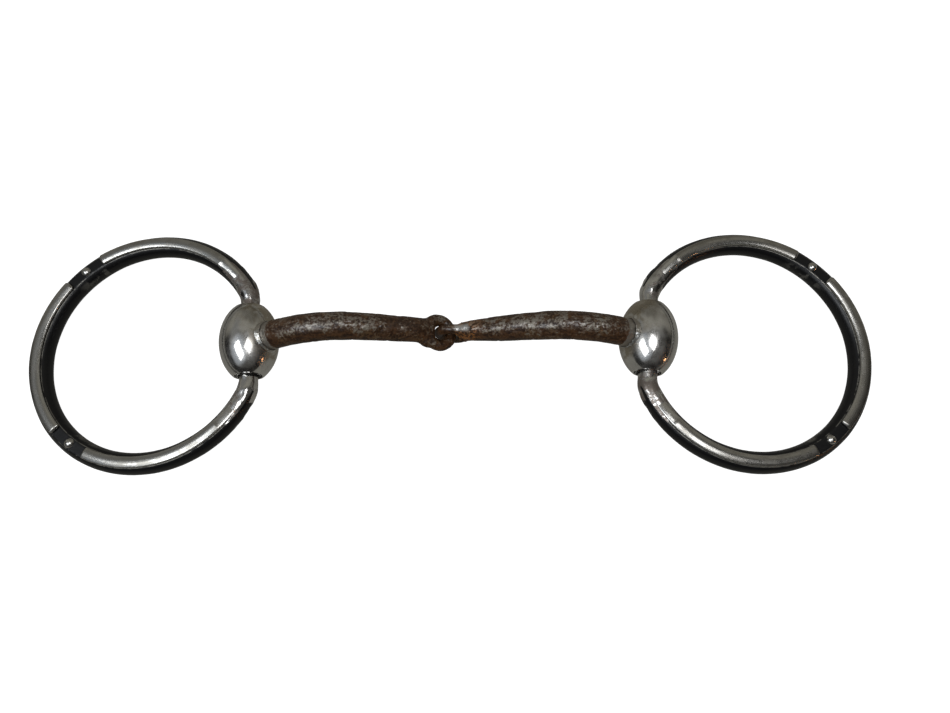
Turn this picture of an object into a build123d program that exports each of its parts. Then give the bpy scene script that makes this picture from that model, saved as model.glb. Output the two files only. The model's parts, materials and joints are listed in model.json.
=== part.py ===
from build123d import *
from math import acos, asin, atan2, cos, degrees, radians, sin, sqrt
import os

# A single-jointed eggbutt snaffle bit, lying on a table.
# Two arched cannons link through each other's eyes in the middle. Each cannon ends in an
# egg-shaped butt, and in each butt a large ring turns on a hinge pin. Metal strips and studs
# are set on the upper face of each ring.
# +X runs along the mouthpiece, +Y roughly along the hinge pins, +Z is up. The origin is on
# the table, midway between the centres of the two rings.

os.makedirs("parts", exist_ok=True)

# Butts and mouth, in millimetres
mouth_width = 125.0          # between the inner sides of the butts
butt_diameter = 21.4
butt_length = 26.6
butt_end_diameter = 10.8
butt_collar_diameter = 9.6   # recess round the ring's end
butt_collar_depth = 3.0

# Rings
ring_inside_diameter = 76.2
ring_bar = 7.94
ring_reach = 37.8            # from the hinge pin out to the ring's centre
ring_neck_bend = 13.0
ring_end_gap = 0.2           # between a ring's end and the floor of its recess
left_ring_turn = 3.66        # each ring's turn in plan
right_ring_turn = 4.9

# Hinge pins
pin_diameter = 5.0
pin_running_clearance = 0.05
pin_grip = 6.0               # length of pin inside each ring end

# Strips and studs on the rings, with angles counted from the ring's outermost point
strip_thickness = 1.55
strip_width = 3.9
strip_crown_radius = 0.9
strip_end_round = 0.6
outer_strip_end = 42.0
side_strip_start = 61.5
side_strip_slope = 11.0
flat_end = 139.0             # where the flat under the trim runs out, towards each neck
stud_angle = 52.0
stud_diameter = 3.7
stud_height = 1.3
stud_shank_diameter = 2.0
stud_shank_depth = 3.0
left_trim_turn = 0.0         # how far each ring's trim is set round the ring
right_trim_turn = 3.0

# Cannons
cannon_diameter = 10.6
cannon_middle_diameter = 10.3
cannon_middle = 38.0         # distance from the eye's centre to the cannon's middle
cannon_sections = 10         # spaces between the sections that shape a cannon
cannon_rise = 31.0           # slope where the cannon leaves the butt
cannon_fall = 19.0           # slope after the bend
cannon_bend_radius = 38.0
cannon_eye_bend_radius = 20.0
cannon_eye_run = 9.5         # from the last bend to the eye's centre
tenon_diameter = 8.0
tenon_floor = 5.6            # from the hinge pin's axis to the bottom of the socket

# Eyes
eye_diameter = 14.2
left_eye_bar = 4.2
right_eye_bar = 3.8
eye_droop = 30.0             # slope of each cannon at its eye
eye_gap = 0.35               # between the bars of the two eyes
eye_slack_angle = -17.0      # direction from the left eye's bar to the right eye's centre
link_x = 0.65                # where the left eye's outer bar lies
link_y = 6.2
right_eye_lead = 0.3         # how far the right eye hangs off the middle of the left one

# Each cannon near its eye: distance from the eye's centre, width along the eye's face, and
# thickness through the eye
left_neck = ((4.3, 10.2, 4.4), (7.5, 9.3, 6.4), (12.0, 9.3, 8.4), (22.0, 9.9, 9.7))
right_neck = ((4.3, 10.0, 6.6), (7.5, 9.6, 7.7), (12.0, 9.2, 8.2), (22.0, 9.9, 9.6))

# Braze round each cannon where it enters its butt
braze_width = 1.4
braze_lip = 0.15             # how far the braze's thin edge stands off the cannon
braze_sink = 0.5             # how far the cone's foot starts below the egg's surface
braze_run = 0.25             # how far the braze runs up the cannon past the egg

# Worked out from the sizes above
butt_radius = butt_diameter / 2
butt_half = butt_length / 2
ring_bar_radius = ring_bar / 2
ring_radius = (ring_inside_diameter + ring_bar) / 2
ring_end = butt_half - butt_collar_depth + ring_end_gap
flat_height = sqrt(ring_bar_radius**2 - (strip_width / 2) ** 2)
pin_x = mouth_width / 2 + butt_radius
pin_z = butt_radius
ring_tilt = degrees(asin((pin_z - ring_bar_radius) / (ring_reach + ring_radius)))
neck_centre_x = ring_reach - ring_neck_bend
neck_length = sqrt((ring_radius - ring_neck_bend) ** 2 - neck_centre_x**2)
neck_turn = degrees(atan2(neck_length, neck_centre_x))
left_eye_radius = (eye_diameter - left_eye_bar) / 2
right_eye_radius = (eye_diameter - right_eye_bar) / 2
eye_slack = right_eye_radius - (left_eye_bar + right_eye_bar) / 2 - eye_gap
cannon_bar = (
    (cannon_middle, cannon_middle_diameter, cannon_middle_diameter),
    (pin_x, cannon_diameter, cannon_diameter),
)
up = Vector(0, 0, 1)


def direction(angle):
    """A unit vector at an angle in degrees, in a plane's own x and y."""
    return Vector(cos(radians(angle)), sin(radians(angle)))


def ring_frame(sign, turn):
    """A ring's middle plane: origin on its hinge pin, x outwards, y along the pin."""
    level = Vector(sign * cos(radians(turn)), -sin(radians(turn)), 0)
    tilt = radians(ring_tilt)
    pin_y = ring_reach * cos(tilt) * sin(radians(turn))
    return Plane(
        origin=(sign * pin_x, pin_y, pin_z),
        x_dir=level * cos(tilt) - up * sin(tilt),
        z_dir=level * sin(tilt) + up * cos(tilt),
    )


def arm_frame(ring, joint):
    """A cannon's upright plane: x level from the hinge pin to the joint, y up from the table."""
    inward = Vector(joint.X - ring.origin.X, joint.Y - ring.origin.Y, 0).normalized()
    foot = ring.origin - up * pin_z
    return Plane(origin=foot, x_dir=inward, z_dir=inward.cross(up))


def ring_section(ring, angle):
    """The plane across a ring's bar: x away from the ring's centre, y out of its upper face."""
    across = direction(angle)
    radial = ring.x_dir * across.X + ring.y_dir * across.Y
    return Plane(origin=ring_centre(ring), x_dir=radial, z_dir=radial.cross(ring.z_dir))


def ring_centre(ring):
    return ring.origin + ring.x_dir * ring_reach


def ring_axis(ring):
    return Axis(ring_centre(ring), ring.z_dir)


def pin_planes(ring):
    """Two planes across a hinge pin at its middle, one facing each way."""
    return (
        Plane(origin=ring.origin, x_dir=ring.x_dir, z_dir=ring.y_dir),
        Plane(origin=ring.origin, x_dir=ring.x_dir, z_dir=ring.y_dir * -1),
    )


def stud_seat(ring, angle):
    """The spot on a ring's flat where a stud sits, facing out of the flat."""
    section = ring_section(ring, angle)
    spot = section.origin + section.x_dir * ring_radius + ring.z_dir * flat_height
    return Plane(origin=spot, x_dir=section.x_dir, z_dir=ring.z_dir)


def finish(piece, name):
    piece.part.label = name
    export_step(piece.part, f"parts/{name}.step")


def make_butt_form(ring):
    """The egg shape of a butt, solid all through."""
    end_angle = acos(butt_end_diameter / butt_diameter)
    egg_half = butt_half / sin(end_angle)
    with BuildPart() as form:
        with BuildSketch(ring):
            with BuildLine():
                shell = EllipticalCenterArc(
                    (0, 0),
                    butt_radius,
                    egg_half,
                    start_angle=-degrees(end_angle),
                    arc_size=2 * degrees(end_angle),
                )
                Polyline(shell @ 1, (0, butt_half), (0, -butt_half), shell @ 0)
            make_face()
        revolve(axis=Axis(ring.origin, ring.y_dir))
    return form


def make_butt(ring, form, socket):
    """The egg, bored for its hinge pin, with a recess at each end and a socket for the cannon."""
    with BuildPart() as butt:
        add(form.part)
        for end in pin_planes(ring):
            with BuildSketch(end):
                Circle(pin_diameter / 2 + pin_running_clearance)
            extrude(amount=butt_half, mode=Mode.SUBTRACT)
            with BuildSketch(end.offset(butt_half - butt_collar_depth)):
                Circle(butt_collar_diameter / 2)
            extrude(amount=butt_collar_depth, mode=Mode.SUBTRACT)
        with BuildSketch(socket.offset(tenon_floor)):
            Circle(tenon_diameter / 2)
        extrude(amount=butt_radius, mode=Mode.SUBTRACT)
    return butt


def make_ring(ring, trim_turn):
    """Round bar bent to a ring, its ends drilled for the pin, with a flat and holes for trim."""
    with BuildPart() as hoop:
        with BuildLine(ring) as route:
            lower_neck = Line((0, -ring_end), (0, -neck_length))
            lower_bend = JernArc(lower_neck @ 1, (0, -1), ring_neck_bend, neck_turn)
            bow = JernArc(lower_bend @ 1, lower_bend % 1, ring_radius, 360 - 2 * neck_turn)
            upper_bend = JernArc(bow @ 1, bow % 1, ring_neck_bend, neck_turn)
            Line(upper_bend @ 1, (0, ring_end))
        with BuildSketch(Plane(origin=lower_neck @ 0, z_dir=lower_neck % 0)):
            Circle(ring_bar_radius)
        sweep(path=route.wire())
        with BuildSketch(ring_section(ring, -flat_end)):
            with Locations((ring_radius, flat_height)):
                Rectangle(ring_bar, ring_bar, align=(Align.CENTER, Align.MIN))
        revolve(axis=ring_axis(ring), revolution_arc=2 * flat_end, mode=Mode.SUBTRACT)
        for end in pin_planes(ring):
            with BuildSketch(end.offset(ring_end)):
                Circle(pin_diameter / 2)
            extrude(amount=pin_grip, mode=Mode.SUBTRACT)
        for angle in (trim_turn + stud_angle, trim_turn - stud_angle):
            with BuildSketch(stud_seat(ring, angle)):
                Circle(stud_shank_diameter / 2)
            extrude(amount=-stud_shank_depth, mode=Mode.SUBTRACT)
    return hoop


def make_hinge_pin(ring):
    with BuildPart() as pin:
        with BuildSketch(pin_planes(ring)[0]):
            Circle(pin_diameter / 2)
        extrude(amount=ring_end + pin_grip, both=True)
    return pin


def make_stud(ring, angle):
    """A rivet with a domed head and a plain shank."""
    seat = stud_seat(ring, angle)
    upright = Plane(origin=seat.origin, x_dir=seat.x_dir, z_dir=seat.x_dir.cross(seat.z_dir))
    head_radius = stud_diameter / 2
    shank_radius = stud_shank_diameter / 2
    dome_radius = (head_radius**2 + stud_height**2) / (2 * stud_height)
    dome_drop = dome_radius - stud_height
    dome_start = degrees(asin(dome_drop / dome_radius))
    with BuildPart() as stud:
        with BuildSketch(upright):
            with BuildLine():
                dome = CenterArc((0, -dome_drop), dome_radius, dome_start, 90 - dome_start)
                Polyline(
                    dome @ 1,
                    (0, -stud_shank_depth),
                    (shank_radius, -stud_shank_depth),
                    (shank_radius, 0),
                    dome @ 0,
                )
            make_face()
        revolve(axis=Axis(seat.origin, seat.z_dir))
    return stud


def make_strip(ring, start, end):
    """A crowned strip lying on a ring's flat."""
    with BuildPart() as strip:
        with BuildSketch(ring_section(ring, start)) as profile:
            with Locations((ring_radius, flat_height)):
                Rectangle(strip_width, strip_thickness, align=(Align.CENTER, Align.MIN))
            crown = profile.vertices().group_by(Axis(ring.origin, ring.z_dir))[-1]
            fillet(crown, strip_crown_radius)
        revolve(axis=ring_axis(ring), revolution_arc=end - start)
    return strip


def ease_end(strip, ring, angle):
    """Bevels a strip's square end, where its end face meets its crown."""
    section = ring_section(ring, angle)
    middle = flat_height + strip_thickness / 2
    end_spot = section.origin + section.x_dir * ring_radius + ring.z_dir * middle
    end_face = strip.faces().sort_by_distance(end_spot)[0]
    crown_edges = end_face.edges().sort_by(Axis(ring.origin, ring.z_dir))[1:]
    with strip:
        chamfer(crown_edges, strip_end_round)


def slope_end(strip, ring, angle):
    """Cuts a side strip down to the height of the round neck where it ends."""
    section = ring_section(ring, angle)
    spot = section.origin + section.x_dir * ring_radius + ring.z_dir * ring_bar_radius
    onward = section.z_dir * (1 if angle < 0 else -1)
    slope = radians(side_strip_slope)
    with strip:
        split(
            bisect_by=Plane(origin=spot, z_dir=ring.z_dir * cos(slope) + onward * sin(slope)),
            keep=Keep.BOTTOM,
        )


def cannon_route(arm, eye, root):
    """The cannon's centre line, from inside its butt to the root of its eye."""
    pin = Vector(0, pin_z)
    rise = direction(cannon_rise)
    fall = direction(-cannon_fall)
    droop = direction(-eye_droop)
    last_bend = eye - droop * cannon_eye_run
    reach = last_bend - pin
    along = (reach.Y * fall.X - reach.X * fall.Y) / (rise.Y * fall.X - rise.X * fall.Y)
    with BuildLine(arm) as route:
        FilletPolyline(
            tuple(pin + rise * tenon_floor),
            tuple(pin + rise * along),
            tuple(last_bend),
            tuple(eye - droop * root),
            radius=[cannon_bend_radius, cannon_eye_bend_radius],
        )
    return route.wire()


def bar_size(profile, distance):
    """A cannon's two widths at a distance from its eye, eased between the profile's rows."""
    for near, far in zip(profile, profile[1:]):
        if distance <= far[0]:
            share = max(distance - near[0], 0) / (far[0] - near[0])
            eased = share * share * (3 - 2 * share)
            return [start + eased * (end - start) for start, end in zip(near[1:], far[1:])]
    return profile[-1][1:]


def make_cannon(arm, centre, upright_eye, bar, profile, form, socket):
    """An arched round bar with a tenon for the butt at one end and a link eye at the other."""
    root = profile[0][0]
    route = cannon_route(arm, arm.to_local_coords(centre), root)
    with BuildPart() as cannon:
        for step in range(cannon_sections + 1):
            place = step / cannon_sections
            along = route % place
            sideways = arm.z_dir.cross(along) if upright_eye else arm.z_dir
            wide, thick = bar_size(profile, root + (1 - place) * route.length)
            with BuildSketch(Plane(origin=route @ place, x_dir=sideways, z_dir=along)):
                Ellipse(wide / 2, thick / 2)
        loft()
        add(form.part, mode=Mode.SUBTRACT)
        with BuildSketch(socket.offset(tenon_floor)):
            Circle(tenon_diameter / 2)
        extrude(amount=butt_radius - tenon_floor)
        hole = sideways.cross(along)
        with BuildSketch(Plane(origin=centre, x_dir=along, z_dir=sideways)):
            with Locations(((eye_diameter - bar) / 2, 0)):
                Circle(bar / 2)
        revolve(axis=Axis(centre, hole))
    return cannon


def make_braze(form, cannon, socket):
    """A cone of filler metal round the cannon, fitted to the egg."""
    foot_radius = cannon_diameter / 2 + braze_width
    foot = sqrt(butt_radius**2 - foot_radius**2) - braze_sink
    with BuildPart() as braze:
        with BuildSketch(socket.offset(butt_radius + braze_run)):
            Circle(cannon_diameter / 2 + braze_lip)
        with BuildSketch(socket.offset(foot)):
            Circle(foot_radius)
        loft()
        add(form.part, mode=Mode.SUBTRACT)
        add(cannon.part, mode=Mode.SUBTRACT)
    return braze


def build_side(side, ring, trim_turn, eye_point, link, upright_eye, bar, neck):
    arm = arm_frame(ring, link)
    rise = direction(cannon_rise)
    socket = Plane(origin=ring.origin, z_dir=arm.x_dir * rise.X + arm.y_dir * rise.Y)
    form = make_butt_form(ring)
    cannon = make_cannon(arm, eye_point, upright_eye, bar, neck + cannon_bar, form, socket)
    finish(cannon, f"{side}_cannon")
    finish(make_butt(ring, form, socket), f"{side}_butt")
    finish(make_braze(form, cannon, socket), f"{side}_braze")
    finish(make_ring(ring, trim_turn), f"{side}_ring")
    finish(make_hinge_pin(ring), f"{side}_hinge_pin")
    for place, sign in (("upper", 1), ("lower", -1)):
        turn = sign if ring.y_dir.Y > 0 else -sign
        begin = trim_turn + turn * side_strip_start
        strip = make_strip(ring, *sorted((begin, turn * flat_end)))
        ease_end(strip, ring, begin)
        slope_end(strip, ring, turn * flat_end)
        finish(strip, f"{side}_{place}_strip")
        finish(make_stud(ring, trim_turn + turn * stud_angle), f"{side}_{place}_stud")
    strip = make_strip(ring, trim_turn - outer_strip_end, trim_turn + outer_strip_end)
    ease_end(strip, ring, trim_turn - outer_strip_end)
    ease_end(strip, ring, trim_turn + outer_strip_end)
    finish(strip, f"{side}_outer_strip")


slack = direction(eye_slack_angle) * eye_slack
droop = direction(eye_droop)
right_eye_point = Vector(link_x + slack.X, link_y + right_eye_lead, eye_diameter / 2)
link = Vector(link_x, link_y, right_eye_point.Z - slack.Y)
left_ring_frame = ring_frame(-1, left_ring_turn)
right_ring_frame = ring_frame(1, right_ring_turn)
left_arm_frame = arm_frame(left_ring_frame, link)
back_along_eye = left_arm_frame.x_dir * -droop.X + up * droop.Y
left_eye_point = link + back_along_eye * left_eye_radius

build_side(
    "left", left_ring_frame, left_trim_turn, left_eye_point, link, False, left_eye_bar, left_neck
)
build_side(
    "right", right_ring_frame, right_trim_turn, right_eye_point, right_eye_point, True,
    right_eye_bar, right_neck
)
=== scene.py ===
import json
import math
from collections import namedtuple

import bpy
import numpy as np
from bpy.props import FloatProperty, FloatVectorProperty, IntProperty, PointerProperty
from mathutils import Matrix, Vector, noise


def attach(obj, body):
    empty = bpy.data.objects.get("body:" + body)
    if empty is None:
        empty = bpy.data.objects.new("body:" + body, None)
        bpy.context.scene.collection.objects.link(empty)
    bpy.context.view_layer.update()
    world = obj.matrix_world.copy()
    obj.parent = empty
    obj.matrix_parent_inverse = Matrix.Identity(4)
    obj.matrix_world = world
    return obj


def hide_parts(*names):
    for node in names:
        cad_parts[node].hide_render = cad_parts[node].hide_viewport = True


bl_info = {
    "name": "Eggbutt snaffle maker",
    "version": (1, 0, 0),
    "blender": (4, 5, 0),
    "location": "View3D > Sidebar > Snaffle",
    "description": "Gives an eggbutt snaffle its worked surfaces, its metals and a studio",
    "category": "Object",
}

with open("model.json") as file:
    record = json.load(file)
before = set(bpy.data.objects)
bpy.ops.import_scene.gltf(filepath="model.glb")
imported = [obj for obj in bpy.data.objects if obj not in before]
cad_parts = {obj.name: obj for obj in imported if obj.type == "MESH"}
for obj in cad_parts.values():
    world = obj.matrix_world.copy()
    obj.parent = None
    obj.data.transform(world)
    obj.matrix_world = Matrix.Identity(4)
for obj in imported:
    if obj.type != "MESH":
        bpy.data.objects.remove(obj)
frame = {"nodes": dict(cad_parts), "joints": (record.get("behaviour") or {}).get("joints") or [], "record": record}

MM = 0.001
SIDES = ("left", "right")
STRIPS = ("upper_strip", "outer_strip", "lower_strip")
STUDS = ("upper_stud", "lower_stud")
RIGHTWARD, BACKWARD = Vector((1, 0, 0)), Vector((0, 1, 0))

NECK_ANGLE = 149.0  # degrees round a ring, from its far side to where its neck is bright
STUD_ANGLE = 55.0  # degrees round a ring, from its far side to a stud
FLAT_HALF_WIDTH = 2.05  # millimetres, half of the flat under the strips
STRIP_HALF_WIDTH = 1.95  # millimetres
GREASE_ROUGHNESS = 0.16
SLACK = 0.05 * MM  # how near a vertex has to be to count as on a rim


# ---------------------------------------------------------------- places taken from the frame


# A ring's centre, and its axes: away from the mouth, along its pin, out of its face.
RingPlace = namedtuple("RingPlace", "centre outward pin face")


def named(entries, name):
    """The joint or mount of a name."""
    return next(entry for entry in entries if entry["name"] == name)


def ring_place(side):
    """Where a ring lies, and how it is turned."""
    mount = named(frame["record"]["mounts"], f"{side}_rein_ring")
    pin = Vector(named(frame["joints"], f"{side}_ring_swing")["axis"]).normalized()
    face = Vector(mount["axis"]).normalized()
    return RingPlace(Vector(mount["pos_m"]), pin.cross(face), pin, face)


def pin_place(side):
    """The middle of a butt, on its hinge pin."""
    return Vector(named(frame["joints"], f"{side}_ring_swing")["pos_m"])


def link_place():
    """Where the two eyes hang in each other."""
    return Vector(named(frame["joints"], "centre_fold")["pos_m"])


def half_span(node, origin, axis):
    """How far a node reaches from a point, along an axis."""
    return max(abs((v.co - origin).dot(axis)) for v in frame["nodes"][node].data.vertices)


def bar_radius(side):
    """Half of a ring's bar, from how far its underside is from its middle plane."""
    ring = ring_place(side)
    vertices = frame["nodes"][f"{side}_ring"].data.vertices
    return max((ring.centre - v.co).dot(ring.face) for v in vertices)


def ring_radius(side):
    """From a ring's centre to the middle of its bar."""
    ring = ring_place(side)
    return half_span(f"{side}_ring", ring.centre, ring.pin) - bar_radius(side)


def flat_height(side):
    """How far the flat under the strips is above a ring's middle plane."""
    ring = ring_place(side)
    vertices = frame["nodes"][f"{side}_outer_strip"].data.vertices
    return min((v.co - ring.centre).dot(ring.face) for v in vertices)


# ---------------------------------------------------------------- shader maths


class Wire:
    """A shader socket that arithmetic can be written on."""

    def __init__(self, paint, socket):
        self.paint = paint
        self.socket = socket

    def _math(self, operation, first, second):
        return self.paint.node("Math", {"operation": operation}, {0: first, 1: second})

    def __add__(self, other):
        return self._math("ADD", self, other)

    def __radd__(self, other):
        return self._math("ADD", other, self)

    def __sub__(self, other):
        return self._math("SUBTRACT", self, other)

    def __rsub__(self, other):
        return self._math("SUBTRACT", other, self)

    def __mul__(self, other):
        return self._math("MULTIPLY", self, other)

    def __rmul__(self, other):
        return self._math("MULTIPLY", other, self)

    def __pow__(self, other):
        return self._math("POWER", self, other)

    def __rpow__(self, other):
        return self._math("POWER", other, self)

    def __abs__(self):
        return self._math("ABSOLUTE", self, 0.0)


class Paint:
    """A node tree that is being filled, for a material or for the world."""

    def __init__(self, holder):
        holder.use_nodes = True
        self.holder = holder
        self.nodes = holder.node_tree.nodes
        self.links = holder.node_tree.links
        self.nodes.clear()

    def node(self, kind, settings=None, sockets=None, output=0):
        """Adds a node: its settings first, then its sockets' values or links."""
        made = self.nodes.new("ShaderNode" + kind)
        for name, value in (settings or {}).items():
            setattr(made, name, value)
        for name, value in (sockets or {}).items():
            if isinstance(value, Wire):
                self.links.new(value.socket, made.inputs[name])
            else:
                made.inputs[name].default_value = value
        return Wire(self, made.outputs[output]) if made.outputs else None

    def place(self):
        """The piece's own coordinates, in millimetres."""
        metres = self.node("TexCoord", output="Object")
        return self.node("VectorMath", {"operation": "SCALE"}, {0: metres, "Scale": 1 / MM})

    def dot(self, first, second):
        """How far one vector reaches along another."""
        sockets = {0: first, 1: second}
        return self.node("VectorMath", {"operation": "DOT_PRODUCT"}, sockets, "Value")

    def along(self, place, origin, axis):
        """How far a place is from an origin along an axis, in millimetres."""
        offset = self.node("VectorMath", {"operation": "SUBTRACT"}, {0: place, 1: origin / MM})
        return self.dot(offset, axis)

    def distance(self, place, origin):
        """How far a place is from an origin, in millimetres."""
        sockets = {0: place, 1: origin / MM}
        return self.node("VectorMath", {"operation": "DISTANCE"}, sockets, "Value")

    def stretched(self, place, x, y, z):
        """A place scaled along each axis, so that a pattern on it runs one way."""
        return self.node("Mapping", None, {"Vector": place, "Scale": (x, y, z)})

    def vector(self, x, y, z):
        """A vector from three values."""
        return self.node("CombineXYZ", None, {"X": x, "Y": y, "Z": z})

    def stored(self, name):
        """A value that is kept at the mesh's vertices."""
        return self.node("Attribute", {"attribute_name": name}, None, "Fac")

    def noise(self, place, size, detail=3.0, rough=0.55, warp=0.0):
        """Noise whose features are about size millimetres across."""
        sockets = {
            "Vector": place,
            "Scale": 1 / size,
            "Detail": detail,
            "Roughness": rough,
            "Distortion": warp,
        }
        return self.node("TexNoise", {"noise_dimensions": "3D"}, sockets, "Fac")

    def spots(self, place, size):
        """The distance to the nearest of a set of scattered points, in cells."""
        return self.node("TexVoronoi", None, {"Vector": place, "Scale": 1 / size}, "Distance")

    def between(self, value, low, high):
        """Rises smoothly from 0 at low to 1 at high, and falls if high is the lower."""
        if low > high:
            return 1.0 - self.between(value, high, low)
        return self.node(
            "MapRange",
            {"interpolation_type": "SMOOTHSTEP"},
            {"Value": value, "From Min": low, "From Max": high},
        )

    def larger(self, first, second):
        """The larger of two values."""
        return self.node("Math", {"operation": "MAXIMUM"}, {0: first, 1: second})

    def mix(self, mask, first, second):
        """A colour that goes from first to second as the mask rises."""
        first, second = (c if isinstance(c, Wire) else (*c, 1.0) for c in (first, second))
        return self.node("Mix", {"data_type": "RGBA"}, {"Factor": mask, 6: first, 7: second}, 2)

    def bump(self, height, depth):
        """A surface normal from a height, where depth is its height 1 in millimetres."""
        return self.node("Bump", None, {"Height": height, "Distance": depth * MM})

    def metal(self, colour, rough, metallic, normal, gloss=0.5, coat=0.0):
        """A metal's surface, under a coat of grease where coat is above 0."""
        colour = colour if isinstance(colour, Wire) else (*colour, 1.0)
        sockets = {
            "Base Color": colour,
            "Roughness": rough,
            "Metallic": metallic,
            "Normal": normal,
            "Specular IOR Level": gloss,
            "Coat Weight": coat,
            "Coat Roughness": GREASE_ROUGHNESS,
        }
        return self.node("BsdfPrincipled", None, sockets)

    def done(self, shader):
        """Joins the shader to the output, and gives back the finished material."""
        self.node("OutputMaterial", None, {"Surface": shader})
        return self.holder


def new_paint(name):
    """An empty material to paint."""
    return Paint(bpy.data.materials.new(name))


# ---------------------------------------------------------------- sizes and colours


def a_length(name, description, millimetres):
    """A length that a user can set, written here in millimetres and kept in metres."""
    return FloatProperty(
        name=name, description=description, default=millimetres * MM, unit="LENGTH", precision=6
    )


def an_angle(name, description, degrees):
    """An angle that a user can set, written here in degrees and kept in radians."""
    return FloatProperty(
        name=name, description=description, default=math.radians(degrees), subtype="ANGLE"
    )


def a_colour(name, description, *default):
    """A colour that a user can set."""
    return FloatVectorProperty(
        name=name, description=description, default=default, subtype="COLOR", min=0.0, max=1.0
    )


class SnaffleSizes(bpy.types.PropertyGroup):
    """Sizes of the work on the surfaces."""

    cannon_grid: a_length("Cannon grid", "Size of a cannon's faces", 0.27)
    ring_grid: a_length("Ring grid", "Size of a ring's faces", 0.36)
    trim_grid: a_length("Trim grid", "Size of a strip's faces", 0.17)
    braze_grid: a_length("Braze grid", "Size of a braze's faces", 0.15)
    pit_depth: a_length("Pit depth", "Depth of the rust pits in the cannons", 0.16)
    eye_fillet: a_length("Eye fillet", "Fillet where an eye meets its neck", 2.1)
    butt_rim: a_length("Butt rim", "Bevel on the rims at an egg's ends", 0.28)
    neck_wave: a_length("Neck wave", "Depth of the grinding marks on a ring's necks", 0.30)
    butt_segments: IntProperty(
        name="Butt segments", description="Faces round an egg", default=128, min=16
    )


class SnaffleColours(bpy.types.PropertyGroup):
    """Colours of the metals and the floor."""

    rust_dark: a_colour("Dark rust", "Deep rust in the pits", 0.024, 0.010, 0.004)
    rust: a_colour("Rust", "Most of the cannons", 0.074, 0.034, 0.013)
    rust_light: a_colour("Light rust", "Dusty rust", 0.120, 0.070, 0.031)
    rust_fresh: a_colour("Fresh rust", "Orange rust by the joint", 0.30, 0.115, 0.026)
    iron: a_colour("Bare iron", "Worn, pitted iron", 0.26, 0.245, 0.20)
    steel: a_colour("Steel", "Polished butts and ring necks", 0.62, 0.61, 0.59)
    stain: a_colour("Stain", "Brown film on the steel", 0.30, 0.25, 0.17)
    # Fire scale, also painted heavier on the lower necks as their dark reflection.
    scale: a_colour("Fire scale", "Dark blotches on the ring necks", 0.10, 0.065, 0.042)
    braze_dull: a_colour("Dull braze", "Filler metal behind and above", 0.40, 0.38, 0.33)
    braze_pale: a_colour("Pale braze", "Filler metal in front", 0.64, 0.65, 0.65)
    black: a_colour("Blackened steel", "The rings' blued finish", 0.0065, 0.0065, 0.007)
    # Worn blackening, also used for the painted highlight on the rims and the painted reflection inside the rings.
    black_wear_and_painted_light: a_colour("Worn blackening", "Edges and scuffs on the rings", 0.22, 0.21, 0.185)
    silver: a_colour("Nickel silver", "Strips and studs", 0.43, 0.42, 0.395)
    tarnish: a_colour("Tarnish", "Dull parts of the nickel silver", 0.25, 0.235, 0.205)
    # Rubbed silver, also the painted highlight on the strips' bevels.
    silver_rubbed_and_highlight: a_colour("Rubbed silver", "Bright edges of the strips", 0.72, 0.71, 0.68)
    nick: a_colour("Nicks", "Dark nicks in the strips", 0.02, 0.016, 0.012)
    pin: a_colour("Pin steel", "The hinge pins", 0.4, 0.39, 0.37)
    floor: a_colour("Floor", "The floor under the bit", 0.9, 0.9, 0.9)


# ---------------------------------------------------------------- metals


def ring_wires(paint, place, side):
    """The angle round a ring from its far side, the radius, and the height over its plane."""
    ring = ring_place(side)
    x = paint.along(place, ring.centre, ring.outward)
    y = paint.along(place, ring.centre, ring.pin)
    height = paint.along(place, ring.centre, ring.face)
    angle = paint.node("Math", {"operation": "ARCTAN2"}, {0: y, 1: x}) * (180 / math.pi)
    radius = (x * x + y * y) ** 0.5
    return angle, radius, height


def rusted_iron(colours, side):
    """Rust with bare, greasy iron where the cannon is worn, its bare iron painted lighter on top as a highlight,
    and a clean collar at the egg.
    """
    paint = new_paint(f"rusted_iron_{side}")
    place = paint.place()
    broad = paint.noise(place, 8.0, 3.0, 0.55)
    streak = paint.noise(paint.stretched(place, 0.45, 1.1, 1.1), 2.0, 5.0, 0.66, 0.5)
    fine = paint.noise(place, 0.8, 4.0, 0.62)
    grain = paint.noise(place, 0.26, 3.0, 0.6)
    pit = paint.stored("pit")
    crest = paint.stored("crest")
    past_joint = paint.along(place, link_place(), RIGHTWARD)
    from_pin = paint.distance(place, pin_place(side))

    deep = paint.between(streak + fine * 0.5, 0.62, 0.86)
    brown = paint.mix(deep, colours.rust_dark, colours.rust)
    brown = paint.mix(paint.between(fine + broad, 1.00, 1.22) * 0.7, brown, colours.rust_light)
    fresh = paint.between(abs(past_joint - 6.0), 6.5, 1.5)
    fresh = fresh * paint.between(streak + fine, 0.98, 1.20)
    brown = paint.mix(fresh, brown, colours.rust_fresh)

    wear = crest * 0.15 + broad * 0.50 + streak * 0.62 + fine * 0.50 + grain * 0.2 - pit * 0.16
    rubbed = paint.between(abs(past_joint - 4.2), 3.4, 1.6) * paint.between(crest, 0.55, 0.95)
    bare = paint.larger(paint.between(wear, 0.99, 1.16) * 0.62, rubbed * 0.95)
    collar = paint.between(from_pin + fine * 1.6 + streak * 2.2, 16.4, 15.9)
    # Painted highlight: bare iron is lightened towards steel where the cannon faces up.
    iron = paint.mix(crest * crest * 0.22, colours.iron, colours.steel)
    colour = paint.mix(bare, brown, paint.mix(rubbed, iron, colours.steel))
    colour = paint.mix(collar * 0.75, colour, paint.mix(streak, colours.stain, colours.steel))
    rough = 0.36 + grain * 0.16 - bare * 0.14 - rubbed * 0.06 - collar * 0.06
    metallic = bare * 0.85 * (1.0 - collar) + collar * 0.85
    grease = crest * crest * paint.between(fine + grain, 0.78, 1.04)
    bumps = paint.bump(fine * 0.55 + grain * 0.45, 0.24)
    return paint.done(paint.metal(colour, rough, metallic, bumps, 0.24, grease))


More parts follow.
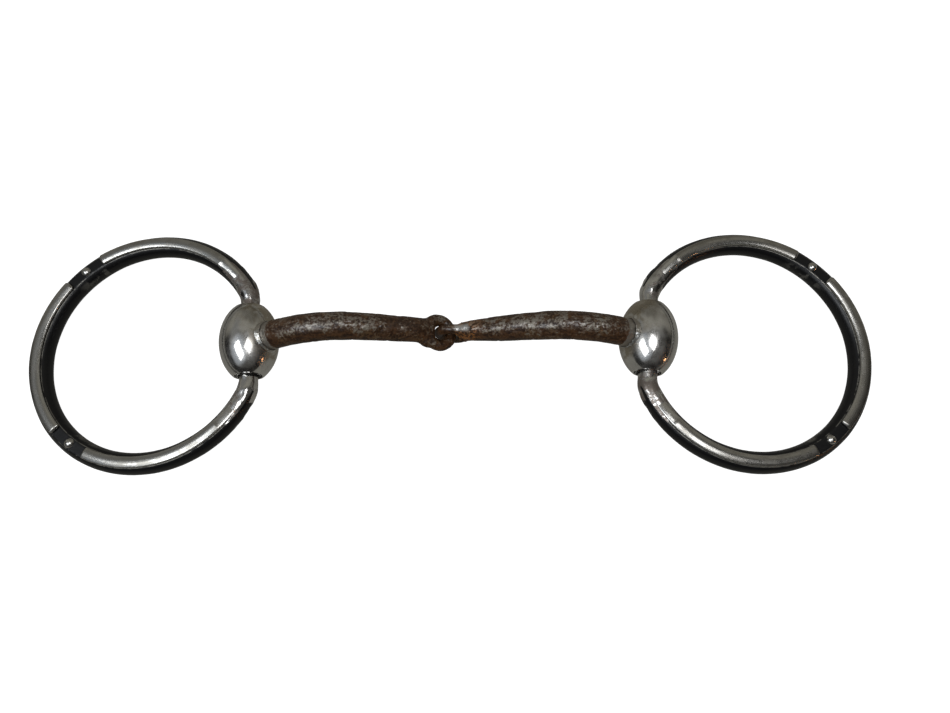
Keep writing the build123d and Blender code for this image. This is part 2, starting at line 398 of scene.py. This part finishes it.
def polished_steel(colours, side):
    """Bright steel with a hazy share, and a brown film behind and towards the mouth."""
    paint = new_paint(f"polished_steel_{side}")
    place = paint.place()
    inward = -RIGHTWARD if side == "right" else RIGHTWARD
    toward_mouth = paint.along(place, pin_place(side), inward)
    behind = paint.along(place, pin_place(side), BACKWARD)
    smudge = paint.noise(place, 5.5, 4.0, 0.6, 0.6)
    cloud = paint.noise(place, 2.2, 3.0, 0.5)
    hair = paint.noise(paint.stretched(place, 0.15, 2.2, 0.6), 0.5, 2.0, 0.6)

    film = paint.between(smudge + toward_mouth * 0.012 + behind * 0.010, 0.46, 0.66)
    stain = film * paint.between(toward_mouth + behind * 0.5, -1.0, 6.0)
    colour = paint.mix(stain * 0.8, colours.steel, colours.stain)
    rough = 0.07 + paint.between(smudge, 0.42, 0.66) * 0.08 + cloud * 0.03 + stain * 0.14
    height = hair * 0.6 + cloud * 0.4
    sharp = paint.metal(colour, rough, 1.0, paint.bump(height, 0.012))
    haze = paint.metal(colour, rough + 0.26, 1.0, paint.bump(height, 0.02))
    share = 0.20 + paint.between(cloud + smudge, 0.85, 1.2) * 0.24
    return paint.done(paint.node("MixShader", None, {"Fac": share, 1: sharp, 2: haze}))


def braze_metal(colours, side):
    """Filler metal: dull and brown on top, pale and crinkled towards the front."""
    paint = new_paint(f"braze_{side}")
    place = paint.place()
    lump = paint.noise(place, 1.0, 4.0, 0.65)
    grain = paint.noise(place, 0.35, 3.0, 0.6)
    front = paint.between(paint.along(place, pin_place(side), -BACKWARD), -1.5, 2.0)

    pale = front * paint.between(lump, 0.42, 0.62)
    dirt = paint.between(lump + front * 0.2, 0.62, 0.48)
    colour = paint.mix(pale, colours.braze_dull, colours.braze_pale)
    colour = paint.mix(dirt * 0.5, colour, colours.rust)
    rough = 0.27 + grain * 0.12 + dirt * 0.1
    bumps = paint.bump(lump * 0.7 + grain * 0.3, 0.12)
    return paint.done(paint.metal(colour, rough, 0.97 - dirt * 0.4, bumps))


def blued_steel(colours, side):
    """Black bar, bright on its two necks, worn on its edges and inside; painted reflection darkens the lower necks
    and lightens the inner wall, and a painted highlight lines the flat's edges.
    """
    paint = new_paint(f"blued_steel_{side}")
    place = paint.place()
    angle, radius, height = ring_wires(paint, place, side)
    across = radius - ring_radius(side) / MM
    ragged = paint.noise(place, 1.5, 3.0, 0.6) - 0.5
    fine = paint.noise(place, 0.5, 3.0, 0.6)
    smear = paint.noise(place, 3.5, 4.0, 0.6, 0.5)

    on_top = paint.between(height, 2.2, 3.0) * paint.between(across, 2.9, 2.3)
    notch = paint.between(abs(across - 2.9), 0.6, 0.1) * paint.between(height, 0.8, 1.6)
    bright_from = NECK_ANGLE + ragged * 4.5 + notch * 5.5 - on_top * 14.0
    bright = paint.between(abs(angle) - bright_from, -0.4, 0.4)
    # Painted reflection: the fire scale is made heavier on the lower necks, where they reflect the dark room.
    lower = paint.between(angle, 20.0, -20.0)
    blotch = paint.between(smear + fine * 0.3 + lower * 0.12, 0.66, 0.80)

    inner = paint.between(across, -2.6, -3.4) * paint.between(height, -1.5, 1.0)
    by_stud = paint.between(abs(abs(angle) - STUD_ANGLE), 16.0, 3.0)
    # Painted reflection: pale scuffs on the inner wall by the studs, both as wear and as the pale table the wall
    # reflects.
    scuff_and_table_reflection = inner * by_stud * paint.between(smear + fine * 0.25, 0.60, 0.74)
    # Painted highlight: the flat's rims are painted bright, both as worn edges and as the highlight line along
    # them.
    edge = paint.between(abs(abs(across) - FLAT_HALF_WIDTH), 0.22, 0.05)
    edge_wear_and_highlight = edge * paint.between(height, 2.7, 3.1) * paint.between(smear, 0.40, 0.55)
    # Wear together with the painted highlight on the flat's rims and the painted reflection on the inner wall.
    worn = paint.larger(scuff_and_table_reflection * 0.55, edge_wear_and_highlight * 0.8)

    black = paint.mix(worn, colours.black, colours.black_wear_and_painted_light)
    steel = paint.mix(blotch * 0.8, colours.steel, colours.scale)
    colour = paint.mix(bright, black, steel)
    black_rough = 0.24 + fine * 0.16 + worn * 0.15
    steel_rough = 0.13 + smear * 0.10 + blotch * 0.20
    rough = black_rough + bright * (steel_rough - black_rough)
    metallic = 0.15 + worn * 0.7 + bright * (0.85 - worn * 0.7 - blotch * 0.4)
    bumps = paint.bump(smear * 0.8 + fine * 0.2, 0.03)
    return paint.done(paint.metal(colour, rough, metallic, bumps, 0.4))


def nickel_silver(colours, side):
    """Satin strips and studs, drawn lengthways, with a few dark nicks, and their bevels and sides painted lighter
    as rubbed silver and a painted highlight.
    """
    paint = new_paint(f"nickel_silver_{side}")
    place = paint.place()
    angle, radius, height = ring_wires(paint, place, side)
    drawn = paint.noise(paint.vector(angle * 0.03, radius * 3.0, height * 3.0), 1.0, 3.0, 0.55)
    smear = paint.noise(place, 5.0, 4.0, 0.6, 0.5)
    fine = paint.noise(place, 0.5, 3.0, 0.6)

    nick = paint.between(paint.spots(place, 7.5), 0.07, 0.05) * paint.between(fine, 0.4, 0.5)
    tarnish = paint.between(smear + drawn * 0.35, 0.58, 0.80)
    # Painted highlight: a strip's bevels and sides are painted lighter, both as rubbed silver and as the highlight
    # lines they catch.
    rub_and_highlight = paint.between(height - flat_height(side) / MM, 1.42, 1.02)
    colour = paint.mix(tarnish * 0.65, colours.silver, colours.tarnish)
    colour = paint.mix(rub_and_highlight * 0.6, colour, colours.silver_rubbed_and_highlight)
    colour = paint.mix(nick, colour, colours.nick)
    rough = 0.15 + drawn * 0.14 + tarnish * 0.12 + nick * 0.3 - rub_and_highlight * 0.03
    bumps = paint.bump(drawn * 0.7 + fine * 0.1 - nick * 1.2, 0.018)
    return paint.done(paint.metal(colour, rough, 1.0 - nick * 0.8, bumps))


def turned_steel(colours):
    """Plain turned steel, for the hinge pins."""
    paint = new_paint("pin_steel")
    fine = paint.noise(paint.place(), 0.6, 3.0, 0.6)
    return paint.done(paint.metal(colours.pin, 0.3 + fine * 0.15, 1.0, paint.bump(fine, 0.02)))


# ---------------------------------------------------------------- mesh work


def pick(piece, *others):
    """Makes a piece the active one, and selects it and the others alone."""
    bpy.ops.object.select_all(action="DESELECT")
    for chosen in (piece, *others):
        chosen.select_set(True)
    bpy.context.view_layer.objects.active = piece


def apply_all(piece):
    """Applies a piece's modifiers in order."""
    pick(piece)
    for modifier in list(piece.modifiers):
        bpy.ops.object.modifier_apply(modifier=modifier.name)


def merged_copy(node, name):
    """A new piece with a CAD node's shape, its loose faces merged."""
    mesh = frame["nodes"][node].data.copy()
    mesh.name = name
    mesh.materials.clear()
    piece = bpy.data.objects.new(name, mesh)
    bpy.context.scene.collection.objects.link(piece)
    pick(piece)
    if mesh.has_custom_normals:
        bpy.ops.mesh.customdata_custom_splitnormals_clear()
    bpy.ops.object.mode_set(mode="EDIT")
    bpy.ops.mesh.select_all(action="SELECT")
    bpy.ops.mesh.remove_doubles(threshold=0.002 * MM)
    bpy.ops.mesh.normals_make_consistent(inside=False)
    bpy.ops.object.mode_set(mode="OBJECT")
    return piece


def displace(piece, amount):
    """Moves a piece's surface out by an amount, or in where it is below 0."""
    grow = piece.modifiers.new("Grow", "DISPLACE")
    grow.strength = amount
    grow.mid_level = 0.0


def remesh(piece, grid):
    """Gives a piece an even skin of faces, a grid apart."""
    skin = piece.modifiers.new("Skin", "REMESH")
    skin.mode = "VOXEL"
    skin.voxel_size = grid
    skin.adaptivity = 0.0


def soften(piece, turns):
    """Eases a piece's edges, more with each turn."""
    smooth = piece.modifiers.new("Soften", "SMOOTH")
    smooth.factor = 0.5
    smooth.iterations = turns


def worked_copy(node, name, grid, fillet=0.0, grow=0.0, turns=3, extra=None):
    """A CAD node as worked metal: sharp inner corners filled, outer ones eased."""
    piece = merged_copy(node, name)
    if extra is not None:
        pick(piece, extra)
        bpy.ops.object.join()
    if fillet:
        displace(piece, fillet)
        remesh(piece, grid)
        displace(piece, grow - fillet)
    elif grow:
        displace(piece, grow)
    remesh(piece, grid)
    soften(piece, turns)
    apply_all(piece)
    bpy.ops.object.shade_smooth()
    return piece


def vertex_arrays(piece):
    """A mesh's points and normals, in rows."""
    count = len(piece.data.vertices)
    points, normals = np.zeros(count * 3), np.zeros(count * 3)
    piece.data.vertices.foreach_get("co", points)
    piece.data.vertices.foreach_get("normal", normals)
    return points.reshape(-1, 3), normals.reshape(-1, 3)


def roughness_at(points, size, octaves=3):
    """Fractal noise at points, about -1 to 1, with features about size millimetres."""
    return np.array([noise.fractal(Vector(p) / (size * MM), 0.9, 2.1, octaves) for p in points])


def move_to(piece, points):
    """Puts a mesh's vertices at new points."""
    piece.data.vertices.foreach_set("co", points.ravel())
    piece.data.update()


def store(piece, name, values):
    """Keeps a value at every vertex for the piece's material."""
    attribute = piece.data.attributes.new(name, "FLOAT", "POINT")
    attribute.data.foreach_set("value", values.astype(np.float32))


def settle(piece, body, slot, material, *nodes):
    """Gives a finished piece its metal and its body, and hides the CAD nodes it stands for."""
    piece.data.materials.clear()
    piece.data.materials.append(material)
    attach(piece, body)
    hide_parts(*nodes)


# ---------------------------------------------------------------- the pieces


class SNAFFLE_OT_cannons(bpy.types.Operator):
    """Makes the two rusted, pitted cannons with their linked eyes."""

    bl_idname = "snaffle.cannons"
    bl_label = "Cannons"

    neck_slope: an_angle("Neck slope", "How steeply the left neck rises from its eye", 30.0)
    scale_in_eye: FloatVectorProperty(
        name="Scale in the eye",
        description="Reach from the joint, aside, lift, and three half sizes, in millimetres",
        size=6,
        default=(8.9, -0.8, 0.0, 1.92, 3.2, 2.0),
    )
    scale_on_lip: FloatVectorProperty(
        name="Scale on the eye's lip",
        description="Reach from the joint, aside, lift, and three half sizes, in millimetres",
        size=6,
        default=(8.5, 0.2, 1.05, 1.4, 3.7, 1.4),
    )
    scale_by_neck: FloatVectorProperty(
        name="Scale by the neck",
        description="Reach from the joint, aside, lift, and three half sizes, in millimetres",
        size=6,
        default=(9.5, -4.4, 0.0, 3.4, 2.3, 2.0),
    )

    def execute(self, context):
        for side in SIDES:
            self.make_cannon(context, side)
        return {"FINISHED"}

    def make_cannon(self, context, side):
        """Fills, pits and dents a cannon, and keeps where its pits and its crest are."""
        sizes = context.scene.snaffle_sizes
        lumps = self.make_lumps() if side == "left" else None
        piece = worked_copy(
            f"{side}_cannon",
            f"{side}_worn_cannon",
            sizes.cannon_grid,
            fillet=sizes.eye_fillet,
            extra=lumps,
        )
        points, normals = vertex_arrays(piece)
        rust = roughness_at(points, 1.9, 4)
        dents = roughness_at(points + 1.0, 7.0, 2)
        pits = np.clip(rust * 1.4 - 0.05, 0, 1)
        depth = sizes.pit_depth * (pits + np.clip(dents + 0.4, 0, 1))
        move_to(piece, points - normals * depth[:, None])
        store(piece, "pit", pits)
        # The crest is where the cannon faces up: its material greases it there and paints a highlight on its bare
        # iron.
        store(piece, "crest", np.clip(normals[:, 2] - 0.35, 0, 1) / 0.65)
        metal = rusted_iron(context.scene.snaffle_colours, side)
        settle(piece, f"{side}_arm", "rusted_iron", metal, f"{side}_cannon")

    def make_lumps(self):
        """Forge scale round the left eye's neck, clear of the right eye's swing."""
        toward_neck = Vector((-math.cos(self.neck_slope), 0, math.sin(self.neck_slope)))
        up = BACKWARD.cross(toward_neck)
        turn = Matrix((toward_neck, BACKWARD, -up)).transposed().to_4x4()
        lumps = []
        for reach, aside, lift, *size in (
            self.scale_in_eye,
            self.scale_on_lip,
            self.scale_by_neck,
        ):
            bpy.ops.object.select_all(action="DESELECT")
            bpy.ops.mesh.primitive_uv_sphere_add(segments=48, ring_count=32, radius=MM)
            lump = bpy.context.active_object
            shift = toward_neck * reach + BACKWARD * aside + up * lift
            place = Matrix.Translation(link_place() + shift * MM)
            lump.data.transform(place @ turn @ Matrix.Diagonal((*size, 1.0)))
            lumps.append(lump)
        pick(lumps[-1], *lumps)
        bpy.ops.object.join()
        return bpy.context.active_object


class SNAFFLE_OT_butts(bpy.types.Operator):
    """Makes the two polished eggs, with a bore and a recess for the ring at each end."""

    bl_idname = "snaffle.butts"
    bl_label = "Butts"

    recess_depth: a_length("Recess depth", "How far a ring's end goes into an egg", 3.0)
    recess_width: a_length("Recess width", "Width of the recess at an egg's end", 9.6)
    end_width: a_length("End width", "Width of the flat at an egg's end", 10.8)
    bore_width: a_length("Bore width", "Width of the bore for the hinge pin", 5.1)
    dent_depth: a_length("Dent depth", "Depth of the shallow dents", 0.06)

    def execute(self, context):
        for side in SIDES:
            self.make_egg(context, side)
        return {"FINISHED"}

    def make_egg(self, context, side):
        """Cuts a ball's ends, opens them, and lays the egg along its hinge pin."""
        sizes = context.scene.snaffle_sizes
        middle = pin_place(side)
        ring = ring_place(side)
        radius = half_span(f"{side}_butt", middle, ring.outward)
        half = half_span(f"{side}_butt", middle, ring.pin)
        end = self.end_width / 2
        long_half = half / math.sqrt(1 - (end / radius) ** 2)

        bpy.ops.object.select_all(action="DESELECT")
        bpy.ops.mesh.primitive_uv_sphere_add(
            segments=sizes.butt_segments, ring_count=sizes.butt_segments // 2, radius=1.0
        )
        egg = context.active_object
        egg.name = egg.data.name = f"{side}_polished_butt"
        bpy.ops.object.mode_set(mode="EDIT")
        bpy.ops.mesh.select_all(action="SELECT")
        bpy.ops.transform.resize(value=(radius, radius, long_half))
        for sign in (1, -1):
            self.open_end(sign, half)
        self.bevel_rims(egg, half, sizes.butt_rim)
        self.bridge_bore(egg)
        bpy.ops.object.mode_set(mode="OBJECT")

        turn = Matrix((ring.outward, -ring.face, ring.pin)).transposed()
        if turn.determinant() < 0:
            turn = Matrix((-ring.outward, -ring.face, ring.pin)).transposed()
        egg.data.transform(Matrix.Translation(middle) @ turn.to_4x4())
        pick(egg)
        bpy.ops.object.shade_smooth_by_angle(angle=math.radians(38))
        points, normals = vertex_arrays(egg)
        dents = np.clip(roughness_at(points, 9.0, 2) + 0.5, 0, 1)
        move_to(egg, points - normals * (self.dent_depth * dents)[:, None])
        metal = polished_steel(context.scene.snaffle_colours, side)
        settle(egg, f"{side}_arm", "polished_steel", metal, f"{side}_butt")

    def open_end(self, sign, half):
        """Cuts one end flat, and sinks a recess and the start of the bore into it."""
        bpy.ops.mesh.select_all(action="SELECT")
        bpy.ops.mesh.bisect(
            plane_co=(0, 0, sign * half), plane_no=(0, 0, sign), use_fill=True, clear_outer=True
        )
        bpy.ops.mesh.inset(thickness=(self.end_width - self.recess_width) / 2)
        bpy.ops.mesh.extrude_region_move(
            TRANSFORM_OT_translate={"value": (0, 0, -sign * self.recess_depth)}
        )
        bpy.ops.mesh.inset(thickness=(self.recess_width - self.bore_width) / 2)
        bpy.ops.mesh.delete(type="ONLY_FACE")

    def select_edges(self, egg, wanted):
        """Selects the edges whose two ends are both wanted."""
        bpy.ops.mesh.select_mode(type="EDGE")
        bpy.ops.mesh.select_all(action="DESELECT")
        bpy.ops.object.mode_set(mode="OBJECT")
        points = egg.data.vertices
        for edge in egg.data.edges:
            edge.select = all(wanted(points[i].co) for i in edge.vertices)
        bpy.ops.object.mode_set(mode="EDIT")

    def bevel_rims(self, egg, half, width):
        """Rounds the two rims at each end."""
        rims = (self.recess_width / 2, self.end_width / 2)

        def on_rim(co):
            out = math.hypot(co.x, co.y)
            at_end = abs(abs(co.z) - half) < SLACK
            return at_end and any(abs(out - rim) < SLACK for rim in rims)

        self.select_edges(egg, on_rim)
        bpy.ops.mesh.bevel(offset=width, segments=3, affect="EDGES")

    def bridge_bore(self, egg):
        """Joins the two ends of the bore."""
        reach = self.bore_width / 2 + SLACK
        self.select_edges(egg, lambda co: math.hypot(co.x, co.y) < reach)
        bpy.ops.mesh.bridge_edge_loops()
        bpy.ops.mesh.select_all(action="SELECT")
        bpy.ops.mesh.normals_make_consistent(inside=False)


class SNAFFLE_OT_brazes(bpy.types.Operator):
    """Makes the lumpy filler metal between each cannon and its egg."""

    bl_idname = "snaffle.brazes"
    bl_label = "Brazes"

    shrink: a_length("Shrink", "How far the filler draws in as it sets", 0.08)
    lump_height: a_length("Lump height", "Height of the lumps in the filler", 0.10)
    sink: a_length("Sink", "How far the lumps sink on the whole", 0.03)

    def execute(self, context):
        grid = context.scene.snaffle_sizes.braze_grid
        for side in SIDES:
            piece = worked_copy(
                f"{side}_braze", f"{side}_lumpy_braze", grid, grow=-self.shrink, turns=10
            )
            points, normals = vertex_arrays(piece)
            lift = roughness_at(points, 1.4, 3) * self.lump_height - self.sink
            move_to(piece, points + normals * lift[:, None])
            metal = braze_metal(context.scene.snaffle_colours, side)
            settle(piece, f"{side}_arm", "braze", metal, f"{side}_braze")
        return {"FINISHED"}


class SNAFFLE_OT_rings(bpy.types.Operator):
    """Makes the two black rings, hand ground at their bright necks."""

    bl_idname = "snaffle.rings"
    bl_label = "Rings"

    neck_start: a_length("Neck start", "From a ring's centre to where its necks start", 30.0)
    neck_blend: a_length("Neck blend", "How gently the grinding starts", 6.0)
    waist_depth: a_length("Waist depth", "How far a neck is waisted by the egg", 0.48)
    waist_reach: a_length("Waist reach", "From the egg's middle to the end of a waist", 20.0)
    waist_blend: a_length("Waist blend", "How gently a waist starts", 5.5)
    dent_depth: a_length("Dent depth", "Depth of the hammer dents", 0.05)
    dent_limit: a_length("Dent limit", "Height over a ring's plane where the dents end", 3.2)

    def execute(self, context):
        for side in SIDES:
            self.make_ring(context, side)
        return {"FINISHED"}

    def make_ring(self, context, side):
        """Grinds a ring's necks and waists, and dents its bar below the flat."""
        sizes = context.scene.snaffle_sizes
        piece = worked_copy(f"{side}_ring", f"{side}_black_ring", sizes.ring_grid, turns=2)
        points, normals = vertex_arrays(piece)
        ring = ring_place(side)
        from_centre = points - np.array(ring.centre)
        inward = -from_centre @ np.array(ring.outward)
        beside = np.abs(from_centre @ np.array(ring.pin))
        height = from_centre @ np.array(ring.face)

        neck = np.clip((inward - self.neck_start) / self.neck_blend, 0, 1)
        ground = np.clip(roughness_at(points, 4.6, 2) + 0.3, 0, 1)
        waist = np.clip((self.waist_reach - beside) / self.waist_blend, 0, 1)
        waist = waist * (inward > self.waist_reach)
        below_flat = 1 - np.clip((height - self.dent_limit) / (0.3 * MM), 0, 1)
        dents = np.clip(roughness_at(points, 8.0, 2) + 0.4, 0, 1)
        depth = neck * sizes.neck_wave * ground
        depth = depth + self.waist_depth * waist * waist * (3 - 2 * waist)
        depth = depth + below_flat * self.dent_depth * dents
        move_to(piece, points - normals * depth[:, None])
        metal = blued_steel(context.scene.snaffle_colours, side)
        settle(piece, f"{side}_ring_set", "blued_steel", metal, f"{side}_ring")


class SNAFFLE_OT_trim(bpy.types.Operator):
    """Makes the nickel-silver strips and studs on the rings, and finishes the hinge pins."""

    bl_idname = "snaffle.trim"
    bl_label = "Trim and pins"

    crown: a_length("Crown", "How much lower a strip's edges are than its middle", 0.42)
    taper: an_angle("Taper", "How much of a side strip's end is drawn out", 6.0)
    stretch: an_angle("Stretch", "How far that end runs on towards the egg", 11.0)
    drop: a_length("Drop", "How far that end dips into the ring's neck", 1.3)

    def execute(self, context):
        for side in SIDES:
            metal = nickel_silver(context.scene.snaffle_colours, side)
            for part in STRIPS + STUDS:
                self.make_trim(context, side, part, metal)
        pin_metal = turned_steel(context.scene.snaffle_colours)
        for side in SIDES:
            pin = frame["nodes"][f"{side}_hinge_pin"]
            pin.data.materials.clear()
            pin.data.materials.append(pin_metal)
        return {"FINISHED"}

    def make_trim(self, context, side, part, metal):
        """Works a strip or a stud, the studs on a finer grid."""
        grid = context.scene.snaffle_sizes.trim_grid * (0.6 if part in STUDS else 1.0)
        node = f"{side}_{part}"
        piece = worked_copy(node, f"{side}_silver_{part}", grid * 0.7, turns=1)
        if part in STRIPS:
            self.work_strip(piece, side, part)
        remesh(piece, grid)
        soften(piece, 4)
        apply_all(piece)
        bpy.ops.object.shade_smooth()
        settle(piece, f"{side}_ring_set", "nickel_silver", metal, node)

    def work_strip(self, piece, side, part):
        """Crowns a strip, and tapers a side strip's end down into the ring's neck."""
        centre, outward, pin, face = (np.array(v) for v in ring_place(side))
        from_centre = vertex_arrays(piece)[0] - centre
        x, y, height = from_centre @ outward, from_centre @ pin, from_centre @ face
        angle, radius = np.arctan2(y, x), np.hypot(x, y)
        middle = ring_radius(side)
        across = (radius - middle) / (STRIP_HALF_WIDTH * MM)
        over_flat = np.clip((height - flat_height(side)) / MM, 0, 1)
        height = height - self.crown * across**2 * over_flat
        if part != "outer_strip":
            turn = np.sign(angle.mean())
            along = np.abs(angle)
            share = np.clip((along - along.max()) / self.taper + 1, 0, 1)
            angle = turn * (along + self.stretch * share**1.5)
            height = height - self.drop * share**3
            radius = middle + (radius - middle) * (1 - 0.25 * share)
        x, y = np.cos(angle) * radius, np.sin(angle) * radius
        move_to(piece, centre + np.outer(x, outward) + np.outer(y, pin) + np.outer(height, face))


class SNAFFLE_OT_stage(bpy.types.Operator):
    """Sets out the floor, the room, the lights and the camera."""

    bl_idname = "snaffle.stage"
    bl_label = "Stage"

    floor_size: FloatProperty(
        name="Floor size", description="Length of the floor's sides", default=6.0, unit="LENGTH"
    )
    floor_glow: FloatProperty(
        name="Floor glow", description="Strength of the floor's own light", default=1.12
    )
    window_power: FloatProperty(
        name="Window power", description="Light from the window", default=3.2, unit="POWER"
    )
    window_from: FloatVectorProperty(
        name="Window", description="Direction of the window", subtype="XYZ",
        default=(-0.44, -0.30, 0.85),
    )
    skylight_power: FloatProperty(
        name="Skylight power", description="Light from above", default=2.4, unit="POWER"
    )
    skylight_from: FloatVectorProperty(
        name="Skylight", description="Direction of the skylight", subtype="XYZ",
        default=(0.20, -0.13, 0.97),
    )
    lamp_power: FloatProperty(
        name="Lamp power", description="Light from the small warm lamp", default=0.16, unit="POWER"
    )
    lamp_from: FloatVectorProperty(
        name="Lamp", description="Direction of the small warm lamp", subtype="XYZ",
        default=(0.89, -0.45, 0.085),
    )
    camera_place: FloatVectorProperty(
        name="Camera", description="Where the camera is", subtype="TRANSLATION", unit="LENGTH",
        default=(0.01174, -0.08363, 0.26663),
    )
    camera_turn: FloatVectorProperty(
        name="Camera turn", description="How the camera is turned about X, Y and Z",
        subtype="EULER", default=[math.radians(a) for a in (17.379, 0.4575, -0.0352)],
    )
    lens: FloatProperty(
        name="Lens", description="The camera's focal length", default=27.884, unit="CAMERA"
    )

    def execute(self, context):
        scene = context.scene
        scene.view_settings.view_transform = "Standard"
        self.make_floor(context)
        self.make_room(scene)
        lights = (
            ("window", self.window_from, 0.95, (0.62, 0.36), self.window_power, (0.94, 0.97, 1.0)),
            ("skylight", self.skylight_from, 0.95, (0.40, 0.42), self.skylight_power,
             (0.97, 0.98, 1.0)),
            ("lamp", self.lamp_from, 0.9, (0.06, 0.05), self.lamp_power, (1.0, 0.45, 0.2)),
        )
        for light in lights:
            self.add_light(scene, *light)
        self.add_camera(scene)
        return {"FINISHED"}

    def make_floor(self, context):
        """A plain pale floor that gives its own light and throws none on the bit."""
        bpy.ops.object.select_all(action="DESELECT")
        bpy.ops.mesh.primitive_plane_add(size=self.floor_size, location=(0, 0, -0.15 * MM))
        floor = context.active_object
        floor.name = "floor"
        floor.visible_glossy = False
        floor.visible_diffuse = False
        paint = new_paint("floor")
        glow = (*context.scene.snaffle_colours.floor, 1.0)
        sockets = {
            "Base Color": (0.3, 0.3, 0.3, 1.0),
            "Roughness": 0.9,
            "Emission Color": glow,
            "Emission Strength": self.floor_glow,
        }
        floor.data.materials.append(paint.done(paint.node("BsdfPrincipled", None, sockets)))

    def make_room(self, scene):
        """A dim room: a pale table below, dark walls, light from the front and the left."""
        world = bpy.data.worlds.new("room")
        scene.world = world
        paint = Paint(world)
        looking = paint.node("TexCoord", output="Generated")
        x, y, z = (paint.node("SeparateXYZ", None, {0: looking}, i) for i in range(3))
        blur = paint.noise(looking, 0.7, 3.0, 0.55) - 0.5
        to_window = paint.dot(looking, Vector(self.window_from).normalized())

        high = paint.between(z + blur * 0.3, 0.35, 0.55)
        top = paint.between(z + blur * 0.2, 0.86, 0.94)
        back = paint.between(z, 0.05, 0.08) * paint.between(y + blur * 0.7, 0.12, 0.40)
        left = high * paint.between(blur * 0.5 - x, 0.15, 0.55)
        glow = paint.between(to_window + blur * 0.14, 0.78, 0.93)
        patches = paint.between(blur, -0.12, 0.16)
        wall = paint.mix(patches, (0.29, 0.28, 0.245), (0.14, 0.132, 0.112))
        worn = paint.between(blur, -0.2, 0.2)
        table = paint.mix(worn, (0.25, 0.245, 0.22), (0.17, 0.165, 0.15))

        colour = paint.mix(high, (0.012, 0.011, 0.010), (0.060, 0.058, 0.053))
        colour = paint.mix(top, colour, (0.115, 0.113, 0.106))
        colour = paint.mix(back, colour, wall)
        colour = paint.mix(left, colour, (0.20, 0.20, 0.192))
        colour = paint.mix(glow, colour, (0.34, 0.37, 0.41))
        colour = paint.mix(paint.between(z, 0.0, 0.03), table, colour)
        light = paint.node("Background", None, {"Color": colour, "Strength": 1.0})
        paint.node("OutputWorld", None, {"Surface": light})

    def add_light(self, scene, name, direction, distance, size, power, colour):
        """A flat light, that far off in that direction, facing the bit."""
        lamp = bpy.data.lights.new(name, "AREA")
        lamp.shape = "RECTANGLE"
        lamp.size, lamp.size_y = size
        lamp.energy = power
        lamp.color = colour
        light = bpy.data.objects.new(name, lamp)
        scene.collection.objects.link(light)
        direction = Vector(direction)
        light.location = Vector((0, 0, 10 * MM)) + direction.normalized() * distance
        light.rotation_euler = direction.to_track_quat("Z", "Y").to_euler()

    def add_camera(self, scene):
        """The camera, above and a little in front."""
        camera = bpy.data.objects.new("camera", bpy.data.cameras.new("camera"))
        scene.collection.objects.link(camera)
        camera.location = self.camera_place
        camera.rotation_euler = self.camera_turn
        camera.data.lens = self.lens
        camera.data.sensor_width = 36.0
        camera.data.clip_start = 0.01
        scene.camera = camera


class SNAFFLE_PT_maker(bpy.types.Panel):
    """Lists the steps of the snaffle maker."""

    bl_label = "Snaffle maker"
    bl_idname = "SNAFFLE_PT_maker"
    bl_space_type = "VIEW_3D"
    bl_region_type = "UI"
    bl_category = "Snaffle"

    def draw(self, context):
        for operator in OPERATORS:
            self.layout.operator(operator.bl_idname)
        for group in (context.scene.snaffle_sizes, context.scene.snaffle_colours):
            for name in group.bl_rna.properties.keys():
                if name not in ("rna_type", "name"):
                    self.layout.prop(group, name)


GROUPS = (SnaffleSizes, SnaffleColours)
OPERATORS = (
    SNAFFLE_OT_cannons,
    SNAFFLE_OT_butts,
    SNAFFLE_OT_brazes,
    SNAFFLE_OT_rings,
    SNAFFLE_OT_trim,
    SNAFFLE_OT_stage,
)


def register():
    for kind in (*GROUPS, *OPERATORS, SNAFFLE_PT_maker):
        bpy.utils.register_class(kind)
    bpy.types.Scene.snaffle_sizes = PointerProperty(type=SnaffleSizes)
    bpy.types.Scene.snaffle_colours = PointerProperty(type=SnaffleColours)


def unregister():
    del bpy.types.Scene.snaffle_sizes
    del bpy.types.Scene.snaffle_colours
    for kind in reversed((*GROUPS, *OPERATORS, SNAFFLE_PT_maker)):
        bpy.utils.unregister_class(kind)


def main():
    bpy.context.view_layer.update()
    register()
    bpy.ops.snaffle.cannons()
    bpy.ops.snaffle.butts()
    bpy.ops.snaffle.brazes()
    bpy.ops.snaffle.rings()
    bpy.ops.snaffle.trim()
    bpy.ops.snaffle.stage()


if __name__ == "__main__":
    main()
